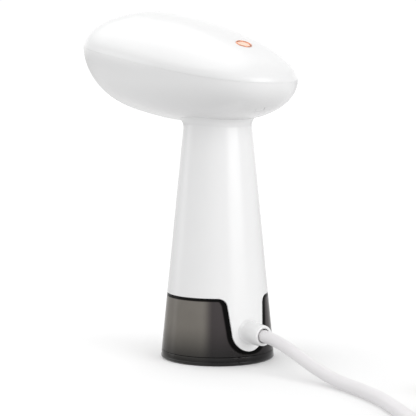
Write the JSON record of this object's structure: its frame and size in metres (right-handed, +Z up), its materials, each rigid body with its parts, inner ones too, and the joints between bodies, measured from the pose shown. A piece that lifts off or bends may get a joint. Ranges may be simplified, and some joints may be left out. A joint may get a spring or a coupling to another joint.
{
  "type": "garment steamer",
  "caption": "Handheld garment steamer: egg-shaped head with a leaning steam plate, conical handle, smoke-tinted water tank as its foot, and a mains cord.",
  "frame": {"origin": "middle of the flat underside of the water tank, on the handle's axis, at floor level", "axes": "+Z up along the handle; -Y is where the steam plate faces; +Y is where the mains cord leaves; +X completes the right-handed frame"},
  "size_m": [0.1164, 0.4541, 0.2379],
  "materials": {
    "shell": "gloss",
    "inner_plastic": "satin",
    "dark_plastic": "satin",
    "smoke": "smoke tinted, translucent",
    "steel": "satin",
    "plate": "dark coated",
    "cast": "as cast",
    "brass": "satin",
    "silicone": "soft",
    "black_rubber": "soft",
    "rose_metal": "rose gold, polished",
    "button": "translucent",
    "board": "satin",
    "lamp": "clear",
    "terminal": "satin",
    "ceramic": "glazed",
    "wire": "satin",
    "cord": "satin",
    "filter": "sintered"
  },
  "bodies": {
    "steamer": {"upper_shell": "shell", "lower_shell": "shell", "screw_plug": "shell", "shell_screw": "steel", "neck_nut": "inner_plastic", "button_ring": "rose_metal", "tact_switch": "dark_plastic", "status_led": "lamp", "control_board": "board", "board_screw_1": "steel", "board_screw_2": "steel", "steam_plate": "plate", "plate_frame": "shell", "steam_gasket": "silicone", "heater_block": "cast", "heating_element": "steel", "steam_inlet": "brass", "thermostat": "dark_plastic", "thermal_fuse": "ceramic", "heat_shield": "steel", "heater_screw_1": "steel", "heater_screw_2": "steel", "handle_shell": "shell", "cord_gland": "shell", "cord_clamp": "inner_plastic", "clamp_screw_1": "steel", "clamp_screw_2": "steel", "handle_floor": "inner_plastic", "supply_lead": "wire", "terminal_block": "terminal", "wiring_harness": "wire", "water_nozzle": "inner_plastic", "nozzle_seal": "black_rubber", "water_pump": "brass", "pump_coil": "dark_plastic", "pump_yoke": "steel", "pump_cradle": "inner_plastic", "pump_mount_lower": "black_rubber", "pump_mount_upper": "black_rubber", "intake_hose": "silicone", "feed_hose": "silicone", "trigger_spring": "steel", "trigger_carrier": "inner_plastic", "trigger_switch": "dark_plastic", "power_cord": "cord", "cord_tail": "cord", "cord_coil": "cord", "cord_tie": "black_rubber", "plug_boot": "cord", "plug_body": "cord", "plug_pin_1": "brass", "plug_pin_2": "brass"},
    "tank": {"tank_body": "smoke", "tank_base": "smoke", "tank_valve": "inner_plastic", "suction_straw": "silicone", "intake_filter": "filter", "filler_plug": "silicone"},
    "button": {"power_button": "button"},
    "trigger": {"steam_trigger": "inner_plastic"}
  },
  "joints": [
    {"name": "tank_release", "type": "slide", "parent": "steamer", "child": "tank", "axis": [0, 0, -1], "range_m": [0, 0.06]},
    {"name": "button_press", "type": "slide", "parent": "steamer", "child": "button", "axis": [0, -0.3987, -0.9171], "range_m": [0, 0.0006], "stiffness_N_per_m": 1500, "springref_m": -0.0008},
    {"name": "trigger_press", "type": "slide", "parent": "steamer", "child": "trigger", "axis": [0, 1, 0], "range_m": [0, 0.0025], "stiffness_N_per_m": 800, "springref_m": -0.002, "deforming": ["trigger_spring"]}
  ]
}
